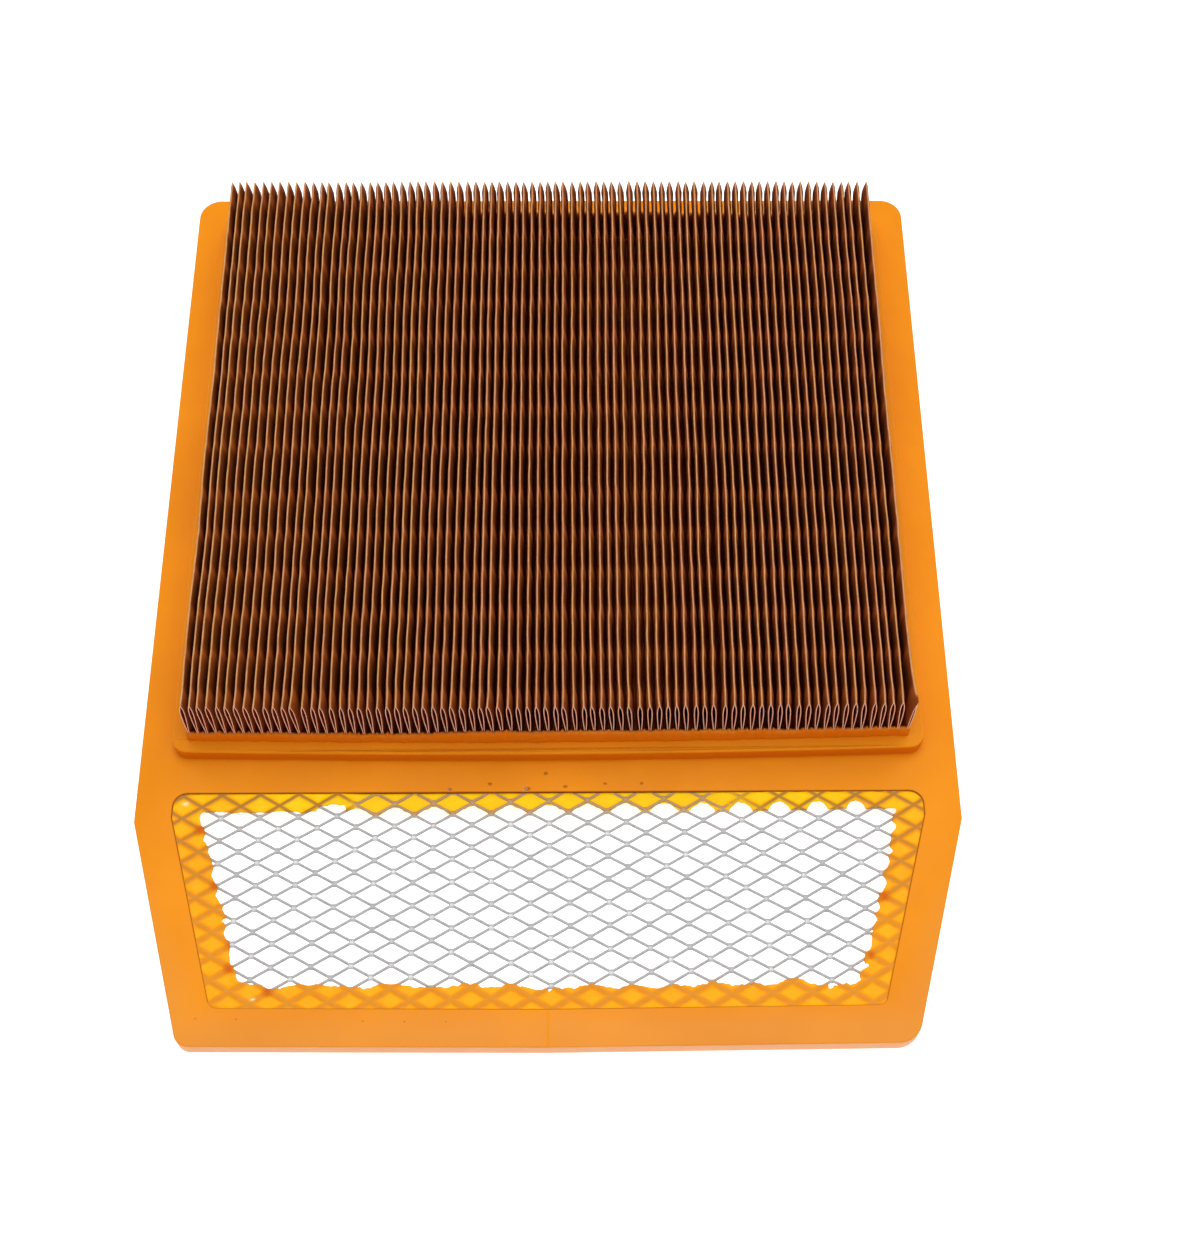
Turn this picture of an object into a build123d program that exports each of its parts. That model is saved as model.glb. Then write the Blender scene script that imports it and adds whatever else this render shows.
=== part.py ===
"""Panel air filter: cast frame, pleated paper pack, potting strips and an expanded-metal screen.

Millimetres. +Z is up, X is the width, the pleats run along Y, and the screened window is towards -Y.
The origin is the middle of the bounding box's bottom face, which is the frame's flat sealing face.
"""
from build123d import *
import math
import os

# ---------------------------------------------------------------- driving dimensions
# frame outline
overall_width = 268.0
overall_length = 330.2
taper_length = 74.7             # front edge to the line where the sides start to taper
taper_inset = 20.2              # how far each side has come in at its front corner
front_bow = 0.9                 # how far the middle of the front edge stands ahead of its corners
flange_thickness = 6.5
back_corner_radius = 8.0
front_left_corner_radius = 5.0
front_right_corner_radius = 8.0
flange_edge_radius = 0.6

# pleated paper
paper_thickness = 0.5
pleat_pitch = 3.0
pleat_top_width = 1.5           # outer width of one upper fold
pleat_tip_height = 30.2         # above the flange's top face
pack_side_margin = 16.2         # least distance from the frame's side edges to the pleats
pack_back_margin = 16.1         # back edge of the frame to the pleats' back ends
pack_front_margin = 26.2        # taper line to the pleats' front ends

# raised ledge round the pack
ledge_width = 5.4
ledge_height = 5.5
ledge_corner_radius = 5.0
ledge_edge_radius = 0.5

# lip under the pack's edges
lip_width = 4.0
lip_height = 5.0                # underside to the paper's lower folds

# potting strips at the pleat ends
strip_thickness = 1.3
strip_height = 12.5             # above the flange's top face
strip_edge_radius = 0.4

# screened window
side_rim = 12.1
front_rim = 12.2
window_back_offset = 9.8        # back of the line where the sides start to taper
window_back_radius = 4.5
window_front_radius = 3.0
recess_depth = 0.7              # flange top down to the web
web_thickness = 0.3
web_back_width = 6.5
web_side_width = 8.5
web_front_width = 7.5
web_corner_radius = 6.0

# expanded-metal screen
screen_thickness = 0.5
screen_back_margin = 7.0        # cast in beyond the window's back edge
screen_side_margin = 5.0
screen_front_margin = 4.4
screen_corner_radius = 1.0
diamond_length = 12.5           # long way of the diamond, along the width
diamond_width = 7.75            # short way of the diamond
bond_length = 2.0               # where two strands are joined, along the width
bond_width = 1.95               # the same, across
screen_skew = 0.9               # the sheet lies turned by this many degrees
bond_offset = 7.1               # one bond lies on the middle line, this far back of the taper line

# ---------------------------------------------------------------- derived places
half_width = overall_width / 2
back_y = overall_length / 2
front_y = -overall_length / 2
taper_y = front_y + taper_length
taper_angle = math.atan2(taper_inset, taper_length - front_bow)
bow_slope = front_bow / (half_width - taper_inset)

# 79 pleats with the sizes above
pleat_room = overall_width - 2 * pack_side_margin - pleat_top_width
pleat_count = math.floor(pleat_room / pleat_pitch) + 1
pack_half_width = (pleat_count - 1) * pleat_pitch / 2 + pleat_top_width / 2
pack_back_y = back_y - pack_back_margin
pack_front_y = taper_y + pack_front_margin
pleat_length = pack_back_y - pack_front_y
pack_y = (pack_back_y + pack_front_y) / 2
pack_top_z = flange_thickness + pleat_tip_height
ledge_top_z = flange_thickness + ledge_height
strip_top_z = flange_thickness + strip_height
seat_width = 2 * pack_half_width
seat_length = pleat_length + 2 * strip_thickness

window_back_y = taper_y + window_back_offset
web_top_z = flange_thickness - recess_depth
screen_top_z = web_top_z - web_thickness
screen_bottom_z = screen_top_z - screen_thickness


def tapered_outline(side_inset, front_inset, top_y, straight_sides=True):
    """Points of the frame's tapered shape, inset from its edges and cut off at top_y.

    They run from the middle of the front edge to the right, and round to the left.
    """
    taper_slope = math.tan(taper_angle)
    side_x = half_width - side_inset / math.cos(taper_angle)
    reach = side_x - (taper_y - front_y - front_inset) * taper_slope
    corner_x = reach / (1 - bow_slope * taper_slope)
    corner_y = front_y + front_inset + bow_slope * corner_x
    right_side = [(corner_x, corner_y)]
    if straight_sides:
        bend_x = half_width - side_inset
        bend_y = taper_y + side_inset * math.tan(taper_angle / 2)
        right_side += [(bend_x, bend_y), (bend_x, top_y)]
    else:
        right_side += [(side_x + (top_y - taper_y) * taper_slope, top_y)]
    left_side = [(-x, y) for x, y in reversed(right_side)]
    return [(0, front_y + front_inset)] + right_side + left_side


def draw_tapered(outline, left_radius, right_radius, back_radius):
    """Closed face of a tapered outline in the sketch being built, with its corners rounded."""
    with BuildLine() as edge:
        Polyline(*outline, close=True)
    make_face(edge.edges())
    middle = len(outline) // 2
    for corner, radius in [
        (outline[1], right_radius),
        (outline[middle], back_radius),
        (outline[middle + 1], back_radius),
        (outline[-1], left_radius),
    ]:
        fillet(vertices().sort_by_distance(corner)[0], radius)


# ---------------------------------------------------------------- moulded frame
with BuildPart() as moulded_frame:
    with BuildSketch():
        draw_tapered(
            tapered_outline(0, 0, back_y),
            front_left_corner_radius,
            front_right_corner_radius,
            back_corner_radius,
        )
    extrude(amount=flange_thickness)
    fillet(moulded_frame.faces().sort_by(Axis.Z)[-1].edges(), flange_edge_radius)
    fillet(moulded_frame.faces().sort_by(Axis.Z)[0].edges(), flange_edge_radius)

    # raised ledge round the pack
    with BuildSketch(Plane.XY.offset(flange_thickness)):
        with Locations((0, pack_y)):
            RectangleRounded(
                seat_width + 2 * ledge_width,
                pleat_length + 2 * ledge_width,
                ledge_corner_radius,
            )
    extrude(amount=ledge_height)
    fillet(moulded_frame.faces().sort_by(Axis.Z)[-1].edges(), ledge_edge_radius)

    # seat of the pack, and the opening inside the lip below it
    with BuildSketch(Plane.XY.offset(lip_height)):
        with Locations((0, pack_y)):
            Rectangle(seat_width, seat_length)
    extrude(amount=ledge_top_z, mode=Mode.SUBTRACT)
    with BuildSketch():
        with Locations((0, pack_y)):
            Rectangle(seat_width - 2 * lip_width, seat_length - 2 * lip_width)
    extrude(amount=lip_height, mode=Mode.SUBTRACT)

    # window below the screen
    with BuildSketch():
        draw_tapered(
            tapered_outline(side_rim, front_rim, window_back_y),
            window_front_radius,
            window_front_radius,
            window_back_radius,
        )
    extrude(amount=screen_bottom_z, mode=Mode.SUBTRACT)

    # slot that the screen's sheet fills
    with BuildSketch(Plane.XY.offset(screen_bottom_z)):
        draw_tapered(
            tapered_outline(
                side_rim - screen_side_margin,
                front_rim - screen_front_margin,
                window_back_y + screen_back_margin,
            ),
            screen_corner_radius,
            screen_corner_radius,
            screen_corner_radius,
        )
    extrude(amount=screen_thickness, mode=Mode.SUBTRACT)

    # opening inside the thin web
    with BuildSketch(Plane.XY.offset(screen_top_z)):
        draw_tapered(
            tapered_outline(
                side_rim + web_side_width,
                front_rim + web_front_width,
                window_back_y - web_back_width,
                straight_sides=False,
            ),
            web_corner_radius,
            web_corner_radius,
            web_corner_radius,
        )
    extrude(amount=web_thickness, mode=Mode.SUBTRACT)

    # recess above the web
    with BuildSketch(Plane.XY.offset(web_top_z)):
        draw_tapered(
            tapered_outline(side_rim, front_rim, window_back_y),
            window_front_radius,
            window_front_radius,
            window_back_radius,
        )
    extrude(amount=recess_depth, mode=Mode.SUBTRACT)


# ---------------------------------------------------------------- pleated paper
top_outer = pleat_top_width / 2
top_inner = top_outer - paper_thickness
valley_inner = (pleat_pitch - pleat_top_width) / 2
valley_outer = valley_inner + paper_thickness
top_centre_z = pack_top_z - top_outer
valley_centre_z = lip_height + valley_outer
last_leg_x = pack_half_width - paper_thickness / 2
tip_places = [((i - (pleat_count - 1) / 2) * pleat_pitch, top_centre_z) for i in range(pleat_count)]
valley_places = [(x + pleat_pitch / 2, valley_centre_z) for x, z in tip_places[:-1]]


def draw_fold(outer, inner, leg):
    """One fold of the sheet round its centre, with its two straight legs hanging down."""
    with BuildSketch(mode=Mode.PRIVATE) as fold:
        with BuildLine() as edge:
            ThreePointArc((-outer, 0), (0, outer), (outer, 0))
            Polyline((outer, 0), (outer, -leg), (inner, -leg), (inner, 0))
            ThreePointArc((inner, 0), (0, inner), (-inner, 0))
            Polyline((-inner, 0), (-inner, -leg), (-outer, -leg), (-outer, 0))
        make_face(edge.edges())
    return fold.sketch


leg_length = (top_centre_z - valley_centre_z) / 2
upper_fold = draw_fold(top_outer, top_inner, leg_length)
lower_fold = draw_fold(valley_outer, valley_inner, leg_length)

with BuildPart() as pleated_paper:
    with BuildSketch(Plane.XZ.offset(-pack_back_y)):
        with Locations(*tip_places):
            add(upper_fold)
        with Locations(*valley_places):
            add(lower_fold, rotation=180)
        # the sheet's two ends stand on the lip
        end_leg = valley_centre_z + leg_length - lip_height
        with Locations((-last_leg_x, lip_height), (last_leg_x, lip_height)):
            Rectangle(paper_thickness, end_leg, align=(Align.CENTER, Align.MIN))
    extrude(amount=pleat_length)


# ---------------------------------------------------------------- potting strips
def build_strip(strip_y):
    """One poured strip that closes the pleat ends, standing up past the ledge."""
    with BuildPart(mode=Mode.PRIVATE) as strip:
        with BuildSketch(Plane.XY.offset(lip_height)):
            with Locations((0, strip_y)):
                Rectangle(seat_width, strip_thickness)
        extrude(amount=strip_top_z - lip_height)
        fillet(strip.faces().sort_by(Axis.Z)[-1].edges().filter_by(Axis.X), strip_edge_radius)
    return strip.part


strip_reach = pleat_length / 2 + strip_thickness / 2

with BuildPart() as front_potting_strip:
    add(build_strip(pack_y - strip_reach))

with BuildPart() as back_potting_strip:
    add(build_strip(pack_y + strip_reach))


# ---------------------------------------------------------------- expanded-metal screen
def hole_places():
    """Centres of the screen's diamond holes, halfway between the bonds of the turned lattice."""
    turn = math.radians(screen_skew)
    column_step = diamond_length / 2
    row_step = diamond_width / 2
    columns = math.ceil(half_width / column_step)
    rows_back = math.ceil((window_back_y + screen_back_margin - taper_y) / row_step) + 1
    rows_front = math.ceil((taper_y - front_y) / row_step)
    places = []
    for row in range(-rows_front, rows_back):
        for column in range(-columns, columns + 1):
            if (row + column) % 2 == 1:
                along = column * column_step
                across = row * row_step
                place_x = along * math.cos(turn) - across * math.sin(turn)
                place_y = along * math.sin(turn) + across * math.cos(turn)
                places.append(Location((place_x, taper_y + bond_offset + place_y, 0), (0, 0, screen_skew)))
    return places


hole_half_length = (diamond_length - bond_length) / 2
hole_half_width = (diamond_width - bond_width) / 2
hole_outline = [
    (hole_half_length, 0),
    (bond_length / 2, hole_half_width),
    (-bond_length / 2, hole_half_width),
    (-hole_half_length, 0),
    (-bond_length / 2, -hole_half_width),
    (bond_length / 2, -hole_half_width),
]

with BuildPart() as expanded_screen:
    with BuildSketch(Plane.XY.offset(screen_bottom_z)):
        draw_tapered(
            tapered_outline(
                side_rim - screen_side_margin,
                front_rim - screen_front_margin,
                window_back_y + screen_back_margin,
            ),
            screen_corner_radius,
            screen_corner_radius,
            screen_corner_radius,
        )
        with Locations(*hole_places()):
            Polygon(*hole_outline, align=None, mode=Mode.SUBTRACT)
    extrude(amount=screen_thickness)
    largest = expanded_screen.solids().sort_by(SortBy.VOLUME)[-1]
    add(largest, mode=Mode.REPLACE)

# ---------------------------------------------------------------- files
sub_parts = {
    "moulded_frame": moulded_frame,
    "pleated_paper": pleated_paper,
    "front_potting_strip": front_potting_strip,
    "back_potting_strip": back_potting_strip,
    "expanded_screen": expanded_screen,
}
os.makedirs("parts", exist_ok=True)
for name, sub_part in sub_parts.items():
    sub_part.part.label = name
    export_step(sub_part.part, f"parts/{name}.step")
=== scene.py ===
"""Looks for the panel air filter: casting, folded paper, potting, screen and the web on it.

Shapes are worked out in millimetres in the CAD frame and stored in metres. Colours are linear.
"""
import contextlib
import math
import random

import bmesh
import bpy
import numpy as np
from mathutils import Matrix, Vector


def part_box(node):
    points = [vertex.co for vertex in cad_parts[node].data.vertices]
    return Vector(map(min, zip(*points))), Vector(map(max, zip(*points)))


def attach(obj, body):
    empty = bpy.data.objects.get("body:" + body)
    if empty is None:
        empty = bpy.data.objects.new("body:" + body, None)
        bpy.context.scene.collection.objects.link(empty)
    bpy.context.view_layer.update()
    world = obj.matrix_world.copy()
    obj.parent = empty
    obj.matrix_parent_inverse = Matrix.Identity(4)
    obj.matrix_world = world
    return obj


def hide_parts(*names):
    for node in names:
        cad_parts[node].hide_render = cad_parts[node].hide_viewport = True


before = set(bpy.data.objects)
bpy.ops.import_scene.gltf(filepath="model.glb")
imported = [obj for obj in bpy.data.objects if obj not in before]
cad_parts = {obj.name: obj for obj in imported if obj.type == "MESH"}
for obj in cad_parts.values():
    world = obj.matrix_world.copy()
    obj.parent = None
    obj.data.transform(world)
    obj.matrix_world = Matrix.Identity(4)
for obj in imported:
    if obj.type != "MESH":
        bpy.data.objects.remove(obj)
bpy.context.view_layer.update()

MM = 0.001
ROOT = "root"


# ---- places taken from the CAD
def box_mm(node):
    """Lowest and highest corner of a CAD node, in millimetres."""
    low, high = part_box(node)
    return np.array(low) / MM, np.array(high) / MM


frame_low, frame_high = box_mm("moulded_frame")
paper_low, paper_high = box_mm("pleated_paper")
strip_low, strip_high = box_mm("front_potting_strip")
back_strip_low, back_strip_high = box_mm("back_potting_strip")
screen_low, screen_high = box_mm("expanded_screen")

half_width = frame_high[0]
front_y = frame_low[1]
back_y = frame_high[1]
ledge_top = frame_high[2]
ledge_height = 5.5
flange_top = ledge_top - ledge_height
taper_length = 74.7
taper_inset = 20.2
front_bow = 0.9
taper_y = front_y + taper_length
taper_angle = math.atan2(taper_inset, taper_length - front_bow)
bow_slope = front_bow / (half_width - taper_inset)
side_rim = 12.1
front_rim = 12.2
window_back_y = taper_y + 9.8
# corner radii of the outline and of the window
corner_radius, front_left_radius = 8.0, 5.0
window_front_radius, window_back_radius = 3.0, 4.5


def bell(offset, half):
    """A smooth bump of height 1 that has fallen to 1/e at the given offset."""
    return np.exp(-((offset / half) ** 2))


def fade(value, start, end):
    """0 at the start and before it, 1 at the end and past it, and straight between."""
    return np.clip((value - start) / (end - start), 0, 1)


def tapered_outline(side_inset, front_inset, top_y):
    """Points of the frame's tapered shape, from the middle of the front edge round by the right."""
    slope = math.tan(taper_angle)
    reach = half_width - side_inset / math.cos(taper_angle) - (taper_length - front_inset) * slope
    corner_x = reach / (1 - bow_slope * slope)
    corner_y = front_y + front_inset + bow_slope * corner_x
    bend_x = half_width - side_inset
    bend_y = taper_y + side_inset * math.tan(taper_angle / 2)
    right = [(corner_x, corner_y), (bend_x, bend_y), (bend_x, top_y)]
    left = [(-x, y) for x, y in reversed(right)]
    return [(0.0, front_y + front_inset)] + right + left


def rounded(outline, radii, steps=8):
    """The outline with its corners turned into arcs; radii is one per corner, 0 for a sharp one."""
    points = []
    count = len(outline)
    for i, radius in enumerate(radii):
        corner = np.array(outline[i])
        before = np.array(outline[i - 1]) - corner
        after = np.array(outline[(i + 1) % count]) - corner
        if radius == 0:
            points.append(tuple(corner))
            continue
        before = before / np.linalg.norm(before)
        after = after / np.linalg.norm(after)
        half_angle = math.acos(np.clip(before @ after, -1, 1)) / 2
        inwards = (before + after) / np.linalg.norm(before + after)
        centre = corner + inwards * radius / math.sin(half_angle)
        start = corner + before * radius / math.tan(half_angle) - centre
        end = corner + after * radius / math.tan(half_angle) - centre
        turn = math.atan2(start[0] * end[1] - start[1] * end[0], start @ end)
        for k in range(steps + 1):
            angle = turn * k / steps
            cos, sin = math.cos(angle), math.sin(angle)
            offset = (start[0] * cos - start[1] * sin, start[0] * sin + start[1] * cos)
            points.append((centre[0] + offset[0], centre[1] + offset[1]))
    return points


def rectangle(half_x, low_y, high_y):
    """Corners of a rectangle centred on the middle line."""
    return [(half_x, low_y), (half_x, high_y), (-half_x, high_y), (-half_x, low_y)]


# ---- mesh helpers
def shade_smooth(mesh, sharp_from=None):
    """Shades all faces smooth, with hard edges from the given angle in degrees on."""
    mesh.polygons.foreach_set("use_smooth", [True] * len(mesh.polygons))
    if sharp_from:
        mesh.set_sharp_from_angle(angle=math.radians(sharp_from))


def add_object(name, data):
    """A new object in the scene."""
    item = bpy.data.objects.new(name, data)
    bpy.context.scene.collection.objects.link(item)
    return item


def make_object(name, vertices, faces, material, smooth=True):
    """A mesh object from millimetre vertices, with one material."""
    mesh = bpy.data.meshes.new(name)
    mesh.from_pydata([tuple(c * MM for c in v) for v in vertices], [], faces)
    mesh.update()
    mesh.materials.append(material)
    if smooth:
        shade_smooth(mesh)
    return add_object(name, mesh)


def plate(name, rings, low_z, high_z, bevel, material, bevel_steps=3):
    """A plate with holes and rounded edges: rings[0] is its outline and the rest are its holes."""
    curve = bpy.data.curves.new(name, "CURVE")
    curve.dimensions = "2D"
    curve.fill_mode = "BOTH"
    curve.extrude = ((high_z - low_z) / 2 - bevel) * MM
    curve.bevel_depth = bevel * MM
    curve.bevel_resolution = bevel_steps
    curve.offset = -bevel * MM
    for ring in rings:
        spline = curve.splines.new("POLY")
        spline.points.add(len(ring) - 1)
        spline.use_cyclic_u = True
        for point, (x, y) in zip(spline.points, ring):
            point.co = (x * MM, y * MM, 0, 1)
    maker = add_object(name + "_maker", curve)
    bpy.context.view_layer.update()
    evaluated = maker.evaluated_get(bpy.context.evaluated_depsgraph_get())
    mesh = bpy.data.meshes.new_from_object(evaluated)
    bpy.data.objects.remove(maker)
    mesh.transform(Matrix.Translation((0, 0, (low_z + high_z) / 2 * MM)))
    mesh.materials.clear()
    mesh.materials.append(material)
    weld(mesh)
    shade_smooth(mesh, sharp_from=30)
    return add_object(name, mesh)


@contextlib.contextmanager
def editing(mesh):
    """The mesh as a bmesh, written back at the end."""
    work = bmesh.new()
    work.from_mesh(mesh)
    yield work
    work.to_mesh(mesh)
    work.free()


def weld(mesh, distance=0.004):
    """Joins vertices that lie on each other and turns all faces outwards."""
    with editing(mesh) as work:
        bmesh.ops.remove_doubles(work, verts=work.verts, dist=distance * MM)
        bmesh.ops.recalc_face_normals(work, faces=work.faces)


def join(name, target, other):
    """Takes the second object into the first and names it."""
    with editing(target.data) as work:
        work.from_mesh(other.data)
    bpy.data.objects.remove(other)
    target.name = name
    return target


def point_attribute(piece, name, values):
    """Stores one number per vertex for the material to read."""
    attribute = piece.data.attributes.new(name, "FLOAT", "POINT")
    attribute.data.foreach_set("value", np.asarray(values, np.float32))


def wave_noise(seed, count, longest, shortest):
    """A smooth random curve of x: a sum of sines with random phases, about -1 to 1."""
    rng = random.Random(seed)
    terms = []
    for k in range(count):
        length = longest * (shortest / longest) ** (k / max(1, count - 1))
        terms.append((2 * math.pi / length * rng.uniform(0.85, 1.15), rng.uniform(0, 2 * math.pi)))

    def curve(x):
        total = 0.0
        for frequency, phase in terms:
            total = total + np.sin(np.asarray(x) * frequency + phase)
        return total / math.sqrt(count)

    return curve


# ---- materials
def new_material(name, roughness, specular, metallic=0.0):
    """A material and its nodes, with the shader's constant values set."""
    material = bpy.data.materials.new(name)
    material.use_nodes = True
    tree = material.node_tree
    shader = tree.nodes["Principled BSDF"].inputs
    shader["Roughness"].default_value = roughness
    shader["Metallic"].default_value = metallic
    shader["Specular IOR Level"].default_value = specular
    return material, tree


def add_noise(tree, scale, detail=4.0, roughness=0.55, stretch=(1, 1, 1)):
    """A noise texture in object coordinates; scale counts per metre."""
    coords = tree.nodes.new("ShaderNodeTexCoord")
    mapping = tree.nodes.new("ShaderNodeMapping")
    mapping.inputs["Scale"].default_value = stretch
    noise = tree.nodes.new("ShaderNodeTexNoise")
    noise.inputs["Scale"].default_value = scale
    noise.inputs["Detail"].default_value = detail
    noise.inputs["Roughness"].default_value = roughness
    tree.links.new(coords.outputs["Object"], mapping.inputs["Vector"])
    tree.links.new(mapping.outputs["Vector"], noise.inputs["Vector"])
    return noise.outputs["Fac"]


# where nearly all values of a noise texture lie
NOISE_LOW, NOISE_HIGH = 0.3, 0.7


def add_tones(tree, noise, low, high, middle=None):
    """Colours over a noise: one for its low values, one for its high values, and one between."""
    ramp = tree.nodes.new("ShaderNodeValToRGB")
    elements = ramp.color_ramp.elements
    for element, place, colour in zip(elements, (NOISE_LOW, NOISE_HIGH), (low, high)):
        element.position = place
        element.color = (*colour, 1)
    if middle:
        elements.new((NOISE_LOW + NOISE_HIGH) / 2).color = (*middle, 1)
    tree.links.new(noise, ramp.inputs["Fac"])
    return ramp.outputs["Color"]


def feed(tree, socket, value):
    """Feeds an input with an output, a colour, a number or the mesh attribute of that name."""
    if isinstance(value, str):
        node = tree.nodes.new("ShaderNodeAttribute")
        node.attribute_name = value
        value = node.outputs["Fac"]
    if isinstance(value, bpy.types.NodeSocket):
        tree.links.new(value, socket)
    elif isinstance(value, tuple):
        socket.default_value = (*value, 1)
    else:
        socket.default_value = value


def add_mix(tree, factor, first, second):
    """Mixes two colours; feed() says what each of the three may be."""
    mix = tree.nodes.new("ShaderNodeMix")
    mix.data_type = "RGBA"
    # inputs 6 and 7 are its two colours, and output 2 is the mixed one
    for place, value in ((0, factor), (6, first), (7, second)):
        feed(tree, mix.inputs[place], value)
    return mix.outputs[2]


def add_math(tree, operation, *values):
    """A math node over one or two values."""
    node = tree.nodes.new("ShaderNodeMath")
    node.operation = operation
    for socket, value in zip(node.inputs, values):
        feed(tree, socket, value)
    return node.outputs[0]


def add_split(tree, vector):
    """The X, Y and Z of a vector."""
    node = tree.nodes.new("ShaderNodeSeparateXYZ")
    tree.links.new(vector, node.inputs["Vector"])
    return node.outputs


def add_range(tree, source, low, high, to_low=0.0, to_high=1.0):
    """Maps low..high of a value to to_low..to_high."""
    node = tree.nodes.new("ShaderNodeMapRange")
    node.inputs["From Min"].default_value = low
    node.inputs["From Max"].default_value = high
    node.inputs["To Min"].default_value = to_low
    node.inputs["To Max"].default_value = to_high
    feed(tree, node.inputs["Value"], source)
    return node.outputs["Result"]


def add_blend(tree, source, low, high, first, second, share=1.0):
    """Mixes up to this share of the second colour into the first as a value goes low to high."""
    return add_mix(tree, add_range(tree, source, low, high, 0.0, share), first, second)


def noise_range(tree, noise, to_low, to_high):
    """Maps a noise to to_low..to_high."""
    return add_range(tree, noise, NOISE_LOW, NOISE_HIGH, to_low, to_high)


def finish_material(material, colour, rough, height, distance, strength):
    """Feeds the shader a colour, a roughness and a bump of the given distance in metres."""
    tree = material.node_tree
    shader = tree.nodes["Principled BSDF"].inputs
    bump = tree.nodes.new("ShaderNodeBump")
    bump.inputs["Strength"].default_value = strength
    bump.inputs["Distance"].default_value = distance
    tree.links.new(colour, shader["Base Color"])
    tree.links.new(rough, shader["Roughness"])
    tree.links.new(height, bump.inputs["Height"])
    tree.links.new(bump.outputs["Normal"], shader["Normal"])
    return material


def wall_mask(tree, from_z, to_z):
    """1 on upright faces past the second height, 0 on level faces and before the first height."""
    geometry = tree.nodes.new("ShaderNodeNewGeometry")
    level = add_math(tree, "ABSOLUTE", add_split(tree, geometry.outputs["Normal"])["Z"])
    height = add_split(tree, geometry.outputs["Position"])["Z"]
    past = add_range(tree, height, from_z * MM, to_z * MM)
    return add_math(tree, "MULTIPLY", past, add_range(tree, level, 0.6, 0.2))


def casting_material(name, deep, middle, light, roughness):
    """Cast polyurethane: slow colour drift, fine grain and a satin surface; painted sheen and shade
    on walls.
    """
    painted_wall_sheen, painted_ledge_shade = (0.8, 0.37, 0.17), (0.74, 0.17, 0.002)
    pale_front_tone, shaded = (0.74, 0.32, 0.1), (0.24, 0.05, 0.003)
    material, tree = new_material(name, roughness, specular=0.12)
    grain = add_noise(tree, 2600, detail=3)
    colour = add_tones(tree, add_noise(tree, 22, detail=3), deep, light, middle)
    for factor, tone in (
        (noise_range(tree, grain, 0.0, 0.12), deep),
        # painted reflection of the bright floor: a paler tone on the flange's upright walls
        (wall_mask(tree, flange_top, flange_top - 0.4), painted_wall_sheen),
        # painted shade: a deeper tone on upright faces above the flange, such as the ledge's walls
        (wall_mask(tree, flange_top + 0.2, flange_top + 0.8), painted_ledge_shade),
        # the front rim is paler towards its front edge
        ("pale_front", pale_front_tone),
        ("shade", shaded),
    ):
        colour = add_mix(tree, factor, colour, tone)
    rough = noise_range(tree, add_noise(tree, 90), roughness - 0.06, roughness + 0.08)
    return finish_material(material, colour, rough, grain, 0.00006, 0.5)


def web_material():
    """The thin web: bright with painted light from below where thin, browner over the strands,
    redder in its thick tips.
    """
    edge, front_bar, back_bar = (0.86, 0.29, 0.006), (0.7, 0.27, 0.022), (0.42, 0.19, 0.03)
    thick_tip, highlight = (0.62, 0.1, 0.004), (1.0, 0.88, 0.45)
    material, tree = new_material("thin_web", 0.22, specular=0.06)
    drift = add_noise(tree, 160, detail=3)
    # painted light from the bright floor shining through the thin web: its bright yellow and orange
    backlit_thin_back = add_tones(tree, drift, (0.98, 0.56, 0.0), (1.0, 0.65, 0.0))
    backlit_thin_front = add_tones(tree, drift, (0.96, 0.37, 0.002), (1.0, 0.43, 0.004))
    thin = add_blend(tree, "inset", 0.55, 0.97, backlit_thin_front, backlit_thin_back)
    rim = add_blend(tree, "strand", 0.1, 0.55, thin, edge)
    rim = add_blend(tree, "inset", 0.6, 0.9, rim, thin, 0.8)
    back_tone = add_mix(tree, "cover", rim, back_bar)
    bar_tone = add_blend(tree, "inset", 0.25, 0.8, front_bar, back_tone)
    colour = add_blend(tree, "strand", 0.62, 0.97, rim, bar_tone)
    colour = add_mix(tree, "tip", colour, thick_tip)
    colour = add_mix(tree, "glint", colour, highlight)
    rough = noise_range(tree, add_noise(tree, 700), 0.16, 0.34)
    return finish_material(material, colour, rough, add_noise(tree, 900, detail=2), 0.00008, 0.6)


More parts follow.
